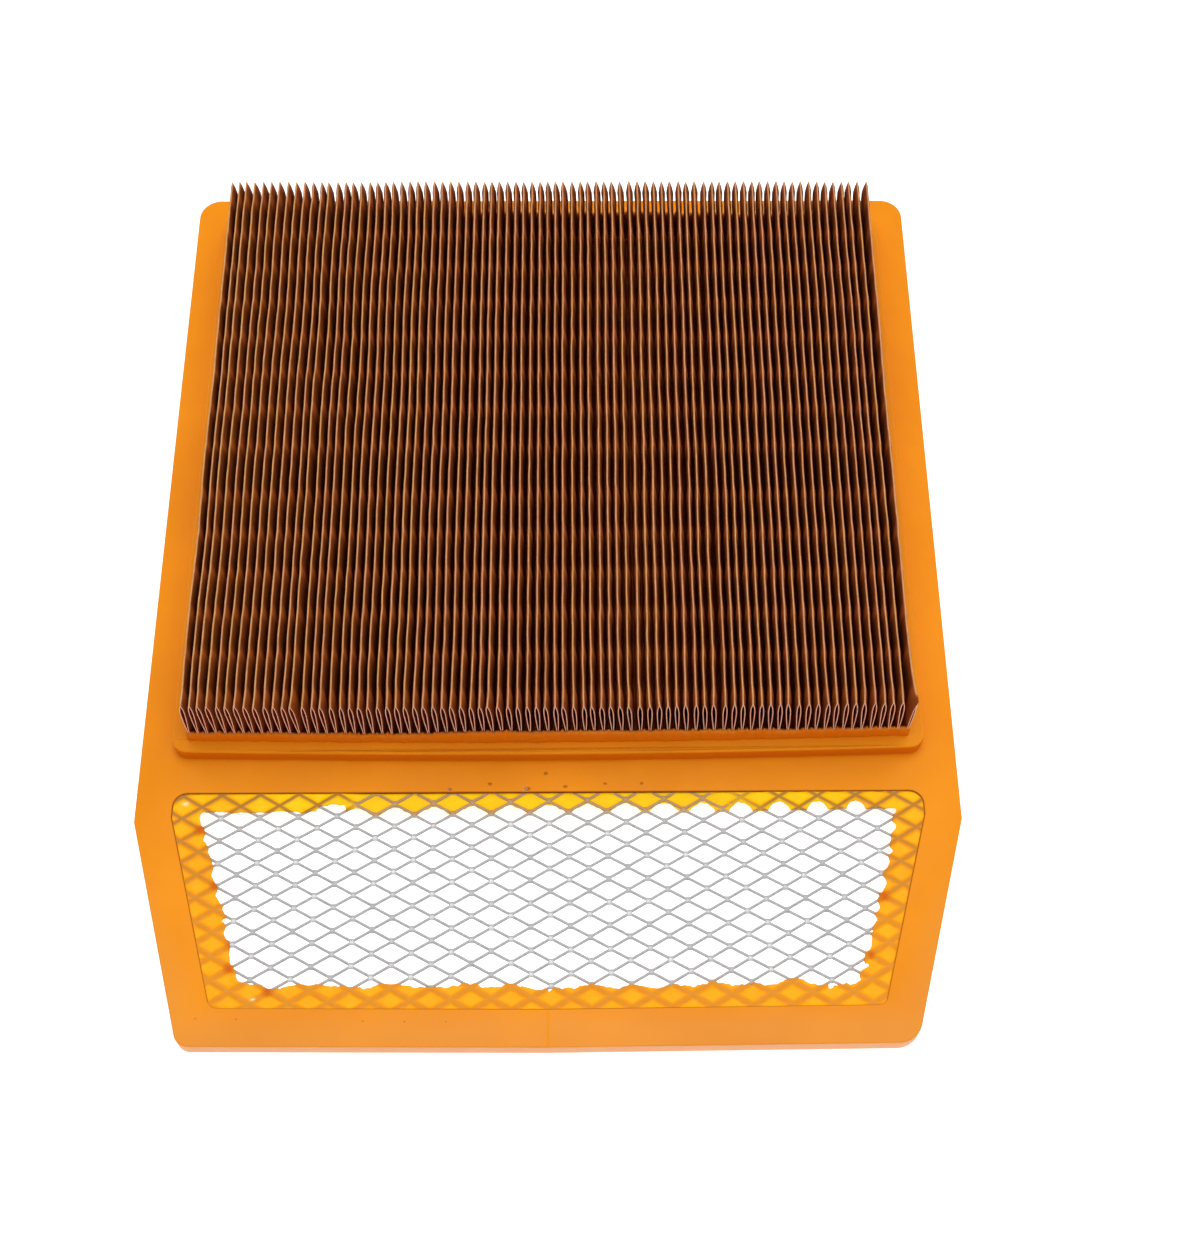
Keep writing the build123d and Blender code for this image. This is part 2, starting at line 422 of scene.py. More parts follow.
def paper_material():
    """Impregnated filter paper: tan tips from wear, darker flanks, fine fibres, banded embossing;
    painted light on tips, bands and gaps.
    """
    painted_gap_light, painted_band_gap_light, ridge = (0.5, 0.085, 0.014), (0.86, 0.24, 0.06), (0.55, 0.15, 0.025)
    inner_face, cut_end, dark_fleck = (0.4, 0.05, 0.01), (0.88, 0.48, 0.34), (0.12, 0.03, 0.005)
    material, tree = new_material("filter_paper", 0.8, specular=0.12)
    tone = add_range(tree, "tone", -1, 1)
    fibre = add_noise(tree, 900, detail=6, roughness=0.7, stretch=(1, 0.25, 1))
    speckle = add_noise(tree, 3200, detail=2)
    tan = add_tones(tree, fibre, (0.5, 0.24, 0.085), (0.76, 0.4, 0.16))
    pink = add_tones(tree, fibre, (0.5, 0.22, 0.1), (0.76, 0.36, 0.19))
    tip = add_mix(tree, tone, tan, pink)
    flank = add_tones(tree, fibre, (0.2, 0.042, 0.005), (0.33, 0.078, 0.011))
    # painted light deep in the gaps between pleats, brighter on the embossed bands; lower flanks
    # take more of it
    deep = add_mix(tree, "band", painted_gap_light, painted_band_gap_light)
    flank = add_blend(tree, "share", 0.8, 0.35, flank, deep, 0.75)
    # painted light on the embossed ridges of the flanks
    flank = add_blend(tree, "band", 0, 1, flank, ridge, 0.9)
    # the tips' tan: wear of the paper, with painted light on them too
    colour = add_blend(tree, "share", 0.98, 0.997, flank, tip)
    colour = add_mix(tree, "inner", colour, inner_face)
    colour = add_mix(tree, "cut", colour, cut_end)
    colour = add_blend(tree, speckle, 0.55, 0.75, colour, dark_fleck, 0.3)
    rough = noise_range(tree, fibre, 0.72, 0.9)
    return finish_material(material, colour, rough, fibre, 0.00008, 0.6)


def steel_material():
    """Galvanised strand: dull grey, painted highlights at the bonds, stained near the web."""
    painted_highlight_grey, stained = (0.72, 0.72, 0.73), (0.42, 0.22, 0.06)
    material, tree = new_material("galvanised_strand", 0.42, specular=0.3, metallic=0.15)
    spangle = add_noise(tree, 1100, detail=4)
    dull = add_tones(tree, spangle, (0.29, 0.29, 0.295), (0.45, 0.45, 0.455))
    # painted highlight: light grey on the bonds and on the cut ends' crests
    colour = add_blend(tree, "bond", 0.35, 1.0, dull, painted_highlight_grey, 0.85)
    colour = add_mix(tree, "stain", colour, stained)
    rough = noise_range(tree, spangle, 0.32, 0.55)
    return finish_material(material, colour, rough, add_noise(tree, 2500, detail=2), 0.00003, 0.5)


frame_paint = casting_material(
    "cast_polyurethane", (0.76, 0.235, 0.001), (0.81, 0.26, 0.002), (0.86, 0.285, 0.004), 0.5
)
potting_paint = casting_material(
    "potting_polyurethane", (0.58, 0.14, 0.006), (0.68, 0.18, 0.009), (0.8, 0.24, 0.014), 0.42
)
web_paint = web_material()
paper_paint = paper_material()
steel_paint = steel_material()


# ---- cast frame
seat_half = paper_high[0]
ledge_width = 5.4
lip_width = 4.0
overlap = 1.2  # how far the ledge reaches into the flange and the front strip
seat_front_y = strip_low[1]
seat_back_y = back_strip_high[1]
# place, half width and depth of the dents in the ledge's front edge
ledge_dents = (
    (-82, 5.0, 0.7), (-69, 3.6, 0.5), (-57, 4.5, 0.35), (-20, 6.0, 0.25), (34, 7.0, 0.3),
    (88, 4.0, 0.3),
)


def spaced(ring, longest=4.0):
    """The ring with points added along its long straight runs."""
    points = []
    for i, here in enumerate(ring):
        there = ring[(i + 1) % len(ring)]
        parts = max(1, math.ceil(math.dist(here, there) / longest))
        for k in range(parts):
            points.append(tuple(a + (b - a) * (k / parts) for a, b in zip(here, there)))
    return points


def front_sag(x, y):
    """How far the pack's front and the ledge before it fall back from straight to their ends."""
    least, most_more, middle_x, reach = 0.1, 1.35, -14, 110
    sag = least + most_more * ((np.asarray(x) - middle_x) / reach) ** 2
    return sag * fade(np.asarray(y), -52.0, -64.0)


def shape_ledge(mesh):
    """Lets the ledge follow the pack's front and puts the shallow dents in its front edge."""
    front_zone_y, dent_foot_z, dent_full_z = -66, 9.5, 11.5
    ripple = wave_noise(17, 5, 70, 8)
    for vertex in mesh.vertices:
        x, y, z = vertex.co / MM
        dent = 0.08 * float(ripple(x))
        for centre, half, depth in ledge_dents:
            dent += depth * bell(x - centre, half)
        near = fade(z, dent_foot_z, dent_full_z) * (y < front_zone_y)
        vertex.co.y = (y + float(front_sag(x, y)) + 0.7 * near * dent) * MM
        vertex.co.z = (z - near * dent) * MM
    mesh.update()


def window_edges(x, y):
    """How far a point lies inwards of the window's side, front and back. Works on arrays."""
    x, y = np.abs(x), np.asarray(y)
    cos, tan = math.cos(taper_angle), math.tan(taper_angle)
    reach = half_width - side_rim / cos - (taper_y - y) * tan
    side = np.minimum(half_width - side_rim - x, (reach - x) * cos)
    return side, y - (front_y + front_rim + bow_slope * x), window_back_y - y


def window_depth(x, y):
    """How far a point lies inside the window's edge, with its round corners; negative outside."""
    side, front, back = window_edges(x, y)
    depth = np.minimum(np.minimum(front, back), side)
    for radius, edge in ((window_back_radius, back), (window_front_radius, front)):
        a = radius - edge
        b = radius - side
        corner = radius - np.hypot(np.maximum(a, 0), np.maximum(b, 0))
        depth = np.where((a > 0) & (b > 0), corner, depth)
    return depth


def build_casting():
    """Flange and ledge as rounded plates. The flange's opening under the pack is the lip's."""
    outer_radii = [0, corner_radius, 0, corner_radius, corner_radius, 0, front_left_radius]
    outer = rounded(tapered_outline(0, 0, back_y), outer_radii, steps=12)
    front_r, back_r = window_front_radius, window_back_radius
    window = tapered_outline(side_rim, front_rim, window_back_y)
    window = rounded(window, [0, front_r, 0, back_r, back_r, 0, front_r])
    inside = rectangle(seat_half - lip_width, seat_front_y + lip_width, seat_back_y - lip_width)
    flange = plate("casting", [outer, window, inside], 0, flange_top, 0.5, frame_paint)
    ledge_front, ledge_back = paper_low[1] - ledge_width, paper_high[1] + ledge_width
    ring = rounded(rectangle(seat_half + ledge_width, ledge_front, ledge_back), [5.0] * 4, steps=10)
    inner = rectangle(seat_half, seat_front_y + overlap, seat_back_y)
    rings = [spaced(ring), spaced(inner)]
    ledge = plate("ledge", rings, flange_top - overlap, ledge_top, 0.8, frame_paint, 4)
    shape_ledge(ledge.data)
    piece = join("frame_casting", flange, ledge)
    x, y, z = np.array([vertex.co / MM for vertex in piece.data.vertices]).T
    # the window's walls get painted shade, and the front rim is paler on top towards its front edge
    point_attribute(piece, "shade", fade(window_depth(x, y), -0.45, 0) * (z > 0.5))
    pale_front = 0.28 * fade(y, front_y + 15, front_y + 7)
    point_attribute(piece, "pale_front", pale_front * (z > flange_top - 0.3))
    return piece


def build_witness():
    """The faint raised line that the mould leaves across the middle of the front rim."""
    vertices, faces = [], []
    rng = random.Random(5)
    rows = 18
    margin = 0.6
    low_y = front_y + margin
    high_y = front_y + front_rim - margin
    profile = ((-0.55, -0.05), (-0.15, 0.1), (0.15, 0.1), (0.55, -0.05))
    width = len(profile)
    for row in range(rows + 1):
        y = low_y + (high_y - low_y) * row / rows
        middle = 0.12 * rng.uniform(-1, 1)
        for x, z in profile:
            vertices.append((middle + x, y, flange_top + z))
    for row in range(rows):
        for a in range(row * width, row * width + width - 1):
            faces.append((a, a + 1, a + width + 1, a + width))
    return make_object("mould_witness_line", vertices, faces, frame_paint)


casting = build_casting()
witness = build_witness()


# ---- expanded screen
diamond_length = 12.5
diamond_width = 7.75
half_bond = 0.62
bond_width = 1.95
screen_skew = math.radians(0.9)
bond_origin_y = taper_y + 7.1
strand_tilt = 0.1
strand_thickness = 0.42
screen_middle = (screen_high[2] + screen_low[2]) / 2
screen_margin = 3.2  # how far outside the window bonds are still made


def lattice_to_frame(along, across):
    """A point of the lattice, turned and placed in the frame."""
    cos, sin = math.cos(screen_skew), math.sin(screen_skew)
    return along * cos - across * sin, bond_origin_y + along * sin + across * cos


def lattice_bonds(first_row, end_row):
    """Lattice places of the bonds in these rows."""
    columns = math.ceil(half_width / (diamond_length / 2))
    for row in range(first_row, end_row):
        for column in range(-columns, columns + 1):
            if (row + column) % 2 == 0:
                yield column * diamond_length / 2, row * diamond_width / 2


def build_screen():
    """Bonds with four half strands each, every strand tilted as the press leaves it."""
    rng = random.Random(11)
    half_rise = bond_width / 2
    end_x = diamond_length / 4
    low_end = (diamond_width - bond_width) / 4
    high_end = (diamond_width + bond_width) / 4
    h = strand_tilt
    # lattice x, y and height of the sheet's upper face
    points = [
        (-half_bond, 0, 0), (half_bond, 0, 0),
        (-half_bond, half_rise, h), (half_bond, half_rise, h),
        (-half_bond, -half_rise, -h), (half_bond, -half_rise, -h),
        (end_x, low_end, -h / 2), (end_x, high_end, h / 2),
        (-end_x, low_end, -h / 2), (-end_x, high_end, h / 2),
        (end_x, -high_end, -h / 2), (end_x, -low_end, h / 2),
        (-end_x, -high_end, -h / 2), (-end_x, -low_end, h / 2),
    ]
    # a collar just outside the bond keeps its painted highlight off the strands
    collars = ((1, 6), (3, 7), (0, 8), (2, 9), (5, 10), (1, 11), (4, 12), (0, 13))
    for inner_point, outer_point in collars:
        pair = zip(points[inner_point], points[outer_point])
        points.append(tuple(a + (b - a) * 0.1 for a, b in pair))
    quads = [
        (0, 1, 3, 2), (4, 5, 1, 0),
        (1, 14, 15, 3), (14, 6, 7, 15), (16, 0, 2, 17), (8, 16, 17, 9),
        (5, 18, 19, 1), (18, 10, 11, 19), (20, 4, 0, 21), (12, 20, 21, 13),
    ]
    walls = [
        (2, 3), (3, 15), (15, 7), (6, 14), (14, 1), (1, 19), (19, 11), (10, 18), (18, 5), (5, 4),
        (4, 20), (20, 12), (13, 21), (21, 0), (0, 16), (16, 8), (9, 17), (17, 2),
    ]
    # the first points are the bond's own; each has its share of the bond's painted highlight
    bond_points = 6
    bond_share = [0.75, 0.75, 0.0, 0.0, 1.0, 1.0] + [0.0] * (len(points) - bond_points)
    vertices, faces = [], []
    bond = []
    rows_back = 5
    rows_front = math.ceil((taper_y - front_y) / (diamond_width / 2))
    for along, across in lattice_bonds(-rows_front, rows_back):
        x, y = lattice_to_frame(along, across)
        if window_depth(x, y) < -screen_margin:
            continue
        first = len(vertices)
        lift = rng.uniform(-0.04, 0.04)
        # strength of this bond's painted highlight, none where the web covers it
        bright = rng.uniform(0.3, 0.85) * float(fade(web_field(x, y), 0, -0.8))
        for side in (1, 0):
            for i, (px, py, pz) in enumerate(points):
                local_lift = lift if i < bond_points else 0
                z = screen_middle + pz + local_lift + (side - 0.5) * strand_thickness
                vertices.append((*lattice_to_frame(along + px, across + py), z))
                bond.append(bond_share[i] * bright * (1.0 if side else 0.3))
        n = len(points)
        for quad in quads:
            faces.append(tuple(first + i for i in quad))
            faces.append(tuple(first + n + i for i in reversed(quad)))
        for a, b in walls:
            faces.append((first + a, first + b, first + n + b, first + n + a))
    piece = make_object("expanded_strands", vertices, faces, steel_paint, smooth=False)
    point_attribute(piece, "bond", bond)
    x, y, _ = np.array(vertices).T
    point_attribute(piece, "stain", 0.85 * fade(web_field(x, y), -0.6, 0.4))
    weld(piece.data)
    soften(piece, 0.09)
    return piece


def soften(piece, width, sharp_from=50):
    """Bevels a piece's edges that are sharper than the given angle in degrees."""
    least = math.radians(sharp_from)
    with editing(piece.data) as work:
        edges = [e for e in work.edges if e.is_manifold and e.calc_face_angle() > least]
        bmesh.ops.bevel(work, geom=edges, offset=width * MM, segments=1, affect="EDGES")
    shade_smooth(piece.data, sharp_from)


def strand_distance(x, y):
    """Distance from the nearest strand's middle line, in the screen's plane. Works on arrays."""
    cos, sin = math.cos(screen_skew), math.sin(screen_skew)
    dy = y - bond_origin_y
    along = x * cos + dy * sin
    across = -x * sin + dy * cos
    u = along / diamond_length + across / diamond_width
    v = along / diamond_length - across / diamond_width
    spacing = diamond_length * diamond_width / math.hypot(diamond_length, diamond_width)
    near_u = np.abs(u - np.round(u))
    near_v = np.abs(v - np.round(v))
    return np.minimum(near_u, near_v) * spacing


# ---- thin web on the screen
def noise_field(seed, wavelength, count=14):
    """A smooth random field of x and y, about -1 to 1."""
    rng = random.Random(seed)
    terms = []
    for _ in range(count):
        angle = rng.uniform(0, math.pi)
        size = 2 * math.pi / (wavelength * rng.uniform(0.6, 1.6))
        terms.append((size * math.cos(angle), size * math.sin(angle), rng.uniform(0, 2 * math.pi)))

    def field(x, y):
        total = 0.0
        for fx, fy, phase in terms:
            total = total + np.sin(x * fx + y * fy + phase)
        return total * math.sqrt(2.0 / count)

    return field


def strand_pull(x, y, reach):
    """1 on a strand, falling to 0 at the given distance: the web creeps along the metal."""
    return fade(strand_distance(x, y), reach, 0)


# from here on to the right the strands stand out of the web along the window's back edge
bare_left_x = -66


def back_edge_width(x):
    """Width of the web along the window's back edge.

    At the left it is nearly straight, with one notch. From there on the film is gone from the
    cells and hangs in arches between the bonds of the second row.
    """
    notch_x, notch_half, notch_deep = -69, 6.5, 2.8
    first_row = window_back_y - bond_origin_y - x * math.sin(screen_skew)
    along = x / math.cos(screen_skew)
    from_arch = np.abs(along - diamond_length * np.round(along / diamond_length))
    steep = diamond_width / diamond_length
    pointed = first_row + 0.35 + steep * np.hypot(from_arch, 1.3)
    pointed = pointed + 0.4 * bell(diamond_length / 2 - from_arch, 1.1)
    half_arch = np.interp(x, (20, 110), (4.6, 3.0))
    arch = np.clip(1 - (from_arch / half_arch) ** 2, 0, 1) ** 0.75 * fade(x, 108, 106)
    blunt = first_row + diamond_width / 2 + 0.9 - 3.1 * arch
    arched = pointed + (blunt - pointed) * fade(x, 15, 60)
    flat = 6.1 + 0.25 * wave_noise(61, 4, 30, 6)(x)
    notch = notch_deep * np.sqrt(np.clip(1 - ((x - notch_x) / notch_half) ** 2, 0, 1))
    return np.where(x < bare_left_x, flat - notch, arched)


def web_field(x, y):
    """Positive where the web is; its inner edge is ragged and creeps along the strands."""
    side, front, back = window_edges(x, y)
    coarse = noise_field(21, 16)(x, y)
    fine = noise_field(22, 2.6)(x, y)
    left_width, right_width, least_front_width = 8.8, 7.8, 6.9
    side_width = np.where(x < 0, left_width, right_width) + 0.6 * coarse
    side_width = side_width + 1.4 * strand_pull(x, y, 2.3) + 0.15 * fine
    back_width = back_edge_width(x) + 0.12 * fine
    front_width = least_front_width + 0.5 * coarse + 0.6 * strand_pull(x, y, 2.0) + 0.2 * fine
    inside = np.maximum(np.maximum(side_width - side, back_width - back), front_width - front)
    return np.minimum(inside, window_depth(x, y) + 0.35)


def covered(x, y):
    """1 where the web covers the strands, 0 in the middle of the back edge, where they show."""
    near_back = window_back_y - y < 12
    return 1 - fade(x, bare_left_x, bare_left_x + 6) * fade(x, 72, 47) * near_back


# place and radius of the light spots on the web
glint_places = ((-118.0, window_back_y - 3.2, 0.9), (-91.5, -149.3, 0.7), (103.0, -99.0, 0.5))


def build_web(step):
    """The web as a closed skin: a grid cut to its ragged outline, thicker over the strands."""
    xs = np.arange(-half_width + side_rim - 1, half_width - side_rim + 1 + step, step)
    ys = np.arange(front_y + front_rim - 1, window_back_y + 1 + step, step)
    grid_x, grid_y = np.meshgrid(xs, ys)
    field = web_field(grid_x, grid_y)
    plane = []
    polygons = []
    index = {}

    def add_point(*ends):
        """Index of a grid corner, or of the outline's crossing between two of them."""
        ends = tuple(sorted(ends))
        if ends not in index:
            (x, y), (x2, y2) = ((xs[i], ys[j]) for i, j in (ends[0], ends[-1]))
            first, second = (field[j, i] for i, j in (ends[0], ends[-1]))
            t = min(0.95, max(0.05, first / (first - second))) if len(ends) > 1 else 0.0
            index[ends] = len(plane)
            plane.append((x + (x2 - x) * t, y + (y2 - y) * t))
        return index[ends]

    positive = field > 0
    for j in range(len(ys) - 1):
        for i in range(len(xs) - 1):
            ring = [(i, j), (i + 1, j), (i + 1, j + 1), (i, j + 1)]
            inside = [positive[b, a] for a, b in ring]
            if not any(inside):
                continue
            polygon = []
            for k in range(4):
                here, there = ring[k], ring[(k + 1) % 4]
                if inside[k]:
                    polygon.append(add_point(here))
                if inside[k] != inside[(k + 1) % 4]:
                    polygon.append(add_point(here, there))
            if len(polygon) > 2:
                polygons.append(tuple(polygon))
    plane = np.array(plane)
    x, y = plane[:, 0], plane[:, 1]
    depth = window_depth(x, y)
    strand = bell(strand_distance(x, y), 0.75)
    cover = covered(x, y)
    # the skin is thin at its inner edge and rounds up within a short way of it
    near_edge = fade(web_field(x, y), 0, 0.45)
    rim = np.sqrt(near_edge * (2 - near_edge))
    blob = np.zeros(len(plane))
    for centre_x, centre_y, radius in tip_places():
        distance = np.hypot(x - centre_x, y - centre_y)
        blob = np.maximum(blob, fade(distance, radius, 0))
    blob = blob * blob * (3 - 2 * blob)
    ripple = noise_field(23, 2.4)(x, y)
    wall = np.exp(-np.clip(depth + 0.3, 0, None) / 0.45)
    thickness = 0.10 + 0.36 * strand * cover + 0.04 * ripple + 0.35 * blob
    upper = screen_middle - 0.2 + 0.33 * cover + thickness * (0.35 + 0.65 * rim) + 0.55 * wall
    upper = np.minimum(upper, flange_top - 0.15)
    lower = screen_middle - 0.3 - 0.8 * thickness * rim
    count = len(plane)
    vertices = [*zip(x, y, upper), *zip(x, y, lower)]
    faces = []
    outline = {}
    for polygon in polygons:
        faces.append(polygon)
        faces.append(tuple(count + i for i in reversed(polygon)))
        for k, a in enumerate(polygon):
            b = polygon[(k + 1) % len(polygon)]
            if (b, a) in outline:
                del outline[(b, a)]
            else:
                outline[(a, b)] = True
    for a, b in outline:
        faces.append((b, a, count + a, count + b))
    piece = make_object("window_web", vertices, faces, web_paint)
    glint = np.zeros(len(plane))
    for glint_x, glint_y, radius in glint_places:
        away = np.hypot(x - glint_x, (y - glint_y) / 0.6)
        glint = np.maximum(glint, bell(away, radius))
    values = {
        "strand": bell(strand_distance(x, y), 1.15),
        "cover": cover,
        "inset": fade(y, front_y, window_back_y) - 0.2 * fade(np.abs(x), 82, 104),
        "tip": 0.9 * blob,
        "glint": glint,
    }
    for name, value in values.items():
        point_attribute(piece, name, np.concatenate([value, value]))
    return piece


def tip_places():
    """Bonds at the web's ragged inner edge where the casting has gathered, mostly at the left."""
    rng = random.Random(31)
    places = []
    for bond_place in lattice_bonds(-20, 3):
        x, y = lattice_to_frame(*bond_place)
        # only along the sides, clear of the window's walls
        if abs(x) < 85 or window_depth(x, y) < 5.0 or y > window_back_y - 9:
            continue
        likely = 0.85 if x < 0 else 0.45
        if -1.2 < web_field(x, y) < 2.2 and rng.random() < likely:
            x, y = x + rng.uniform(-0.5, 0.5), y + rng.uniform(-0.4, 0.4)
            places.append((x, y, rng.uniform(1.9, 3.1)))
    return places


strands = build_screen()
web = build_web(0.42)


# ---- screen ends that reach the surface
# x, distance behind the window and size of the ends in the flange behind it
speck_places = (
    (-32.3, 1.1, 0.9), (-19.3, 2.9, 0.8), (-7.0, 1.2, 1.5), (5.3, 1.9, 0.7), (18.3, 2.9, 0.4),
    (30.2, 2.9, 0.6), (-1.0, 6.6, 0.8),
)
least_modelled = 0.9
# x and distance before the window of the pits in the front rim
rim_speck_places = ((-108.5, 3.4), (-96.0, 3.6), (-57.0, 4.1), (-44.2, 4.2), (-31.4, 4.2))


def build_cut_ends():
    """The larger cut strand ends of the sheet's edge, which poke through the flange."""
    rng = random.Random(41)
    vertices, faces = [], []
    foot_z = flange_top - 0.2
    for x, behind, size in speck_places:
        y = window_back_y + behind
        if size < least_modelled:
            continue
        for direction in (-1, 1):
            first = len(vertices)
            reach = (0.35 + 0.75 * size) * rng.uniform(0.8, 1.2)
            rise = rng.uniform(0.4, 0.7) * size
            wide = 0.16 + 0.1 * size
            for px, py, pz in ((x, y, 0.28), (x - reach, y + direction * rise, 0.15)):
                vertices += [(px, py - wide, foot_z), (px, py, flange_top + pz)]
                vertices.append((px, py + wide, foot_z))
            for face in ((0, 1, 4, 3), (1, 2, 5, 4), (0, 2, 1), (3, 4, 5)):
                faces.append(tuple(first + i for i in face))
    piece = make_object("screen_cut_ends", vertices, faces, steel_paint, smooth=False)
    crest = np.arange(len(vertices)) % 3 == 1
    # the crests carry the painted highlight, the rest the brown stain
    point_attribute(piece, "bond", 0.9 * crest)
    point_attribute(piece, "stain", 0.9 * ~crest)
    return piece


def build_torn_rims():
    """Small low rims of darkened casting over the screen's ends, behind and before the window."""
    spots = [(x, window_back_y + behind, 0.6 + 0.55 * size) for x, behind, size in speck_places]
    window_front_y = front_y + front_rim
    for x, ahead in rim_speck_places:
        spots.append((x, window_front_y - ahead + bow_slope * abs(x), 0.36))
    rng = random.Random(43)
    vertices, faces, shade = [], [], []
    sides = 12
    for x, y, radius in spots:
        first = len(vertices)
        vertices.append((x, y, flange_top - 0.02))
        shade.append(0.75)
        ring_radii = [radius * rng.uniform(0.7, 1.15) for _ in range(sides)]
        for share, lift, dark in ((0.55, 0.09, 0.6), (1.0, -0.06, 0.0)):
            for k, ring_radius in enumerate(ring_radii):
                angle = 2 * math.pi * k / sides
                reach = ring_radius * share
                along, across = reach * math.cos(angle), 0.8 * reach * math.sin(angle)
                vertices.append((x + along, y + across, flange_top + lift))
                shade.append(dark)
        for k in range(sides):
            here, after = first + 1 + k, first + 1 + (k + 1) % sides
            faces += [(first, here, after), (here, here + sides, after + sides, after)]
    piece = make_object("torn_rims", vertices, faces, frame_paint)
    point_attribute(piece, "shade", shade)
    return piece


torn_rims = build_torn_rims()
cut_ends = build_cut_ends()


# ---- folded paper
pleat_count = 79
pleat_pitch = 3.0
sheet_thickness = 0.27
paper_foot = paper_low[2] + sheet_thickness / 2
paper_tip = paper_high[2] - sheet_thickness / 2
paper_reach = paper_tip - paper_foot


# first ridge, pitch and number of a group of embossed ridges, and the side of their slow slope
emboss_groups = ((-58.7, 15.05, 6, -1), (35.5, 15.15, 8, 1))
half_ridge, slope_length = 1.7, 11


def pleat_half_widths(width, throat):
    """Half widths of a pleat's middle line at shares of its height, from the valley to the tip."""
    half, narrow = width / 2, throat / 2
    return [
        (pleat_pitch / 2, 0.0), (pleat_pitch / 2 - 0.38, 0.013), (narrow + 0.26, 0.12),
        (narrow, 0.4), (narrow + 0.65 * (half - narrow), 0.62), (half, 0.8), (half * 0.84, 0.9),
        (half * 0.5, 0.96), (half * 0.18, 0.993),
    ]


def pleat_shape(rng):
    """Middle line of one pleat as (sideways, share of height), without its right valley."""
    width = rng.uniform(1.14, 1.36)
    throat = rng.uniform(0.32, 0.48)
    half = pleat_half_widths(width, throat)
    return [(-x, s) for x, s in half] + [(0.0, 1.0)] + half[:0:-1]


def emboss_bands(ys):
    """Where along the pleats the embossed ridges stand, and the slow slope on one side of each."""
    ridge = np.zeros_like(ys)
    slope = np.zeros_like(ys)
    for first, pitch, count, side in emboss_groups:
        for k in range(count):
            away = (ys - (first + pitch * k)) * side
            ridge = np.maximum(ridge, bell(away, half_ridge))
            slope = np.maximum(slope, fade(away, slope_length, 0) * (away > 0))
    return ridge, slope


def pleat_lean(index, rng):
    """How far a pleat's tip leans to the side of its foot: more and more to the left."""
    full_lean, first_lean, last_lean = -1.05, 0.75, -0.75
    lean = full_lean * fade(index / (pleat_count - 1), 0.22, 0.52) + rng.gauss(0, 0.15)
    if index == pleat_count - 1:
        return last_lean
    return lean + first_lean * math.exp(-index / 1.2)


def fold_sheet(length_steps):
    """Both faces of the folded sheet: uneven lean and spacing, and embossed waves along it."""
    rng = random.Random(7)
    low_y, high_y = paper_low[1] + 0.05, paper_high[1] - 0.05
    ys = np.linspace(low_y, high_y, length_steps + 1)
    wander = noise_field(71, 60)
    flutter = noise_field(72, 11)
    ridge, slope = emboss_bands(ys)
    back_end = fade(ys, high_y - 9, high_y) ** 1.5
    band_row = np.clip(ridge + 0.3 * slope, 0, 1)
    line_x, line_z, share_rows, tone_rows = [], [], [], []
    limit = paper_high[0] - sheet_thickness / 2
    for index in range(pleat_count):
        foot_x = (index - (pleat_count - 1) / 2) * pleat_pitch
        lean = pleat_lean(index, rng)
        lower = rng.uniform(0.0, 0.3)
        tone = rng.uniform(-1, 1)
        flare = 1.5 * np.exp(-(ys - low_y) / 6) * (index == pleat_count - 1)
        kick = rng.gauss(0, 0.16) * np.exp(-(ys - low_y) / 5)
        for x, s in pleat_shape(rng):
            upper = fade(s, 0.25, 1.0)
            side = math.copysign(1.0, x) if abs(x) > 0.01 and 0.05 < s < 0.95 else 0.0
            ridge_share = math.sin(math.pi * fade(s, 0.35, 0.97))
            end_share = 1.0 if 0.3 < s < 0.85 else 0.35
            swell = side * (0.44 * band_row * ridge_share + 0.5 * back_end * end_share)
            sway = upper ** 1.3 * (lean + 0.1 * wander(foot_x, ys) + flare + kick)
            sway = sway + upper * (0.035 * flutter(foot_x, ys) + 0.07 * (ridge - 0.3))
            line_x.append(np.clip(foot_x + x + swell + sway, -limit, limit))
            drop = lower + 0.1 * (1 + wander(foot_x + 500, ys)) if s > 0.9 else 0.0
            line_z.append(paper_foot + s * paper_reach - drop + np.zeros_like(ys))
            share_rows.append(s)
            tone_rows.append(tone)
    line_x.append(np.full_like(ys, (pleat_count / 2) * pleat_pitch - 0.6))
    line_z.append(np.full_like(ys, paper_foot))
    share_rows.append(0.0)
    tone_rows.append(0.0)
    # the pack's two outer faces stand in the light, so they don't take the painted light of deep
    # gaps
    for i in (*range(9), *range(-10, 0)):
        share_rows[i] = max(share_rows[i], 0.8)
    middle_x, middle_z = np.array(line_x), np.array(line_z)
    run_x, run_z = np.gradient(middle_x, axis=0), np.gradient(middle_z, axis=0)
    size = np.hypot(run_x, run_z)
    skins = []
    for offset in (0.5, -0.5):
        skin_x = middle_x - run_z / size * offset * sheet_thickness
        skin_z = middle_z + run_x / size * offset * sheet_thickness
        skins.append((skin_x, ys + 0.55 * front_sag(skin_x, ys), skin_z))
    return skins, share_rows, tone_rows, band_row


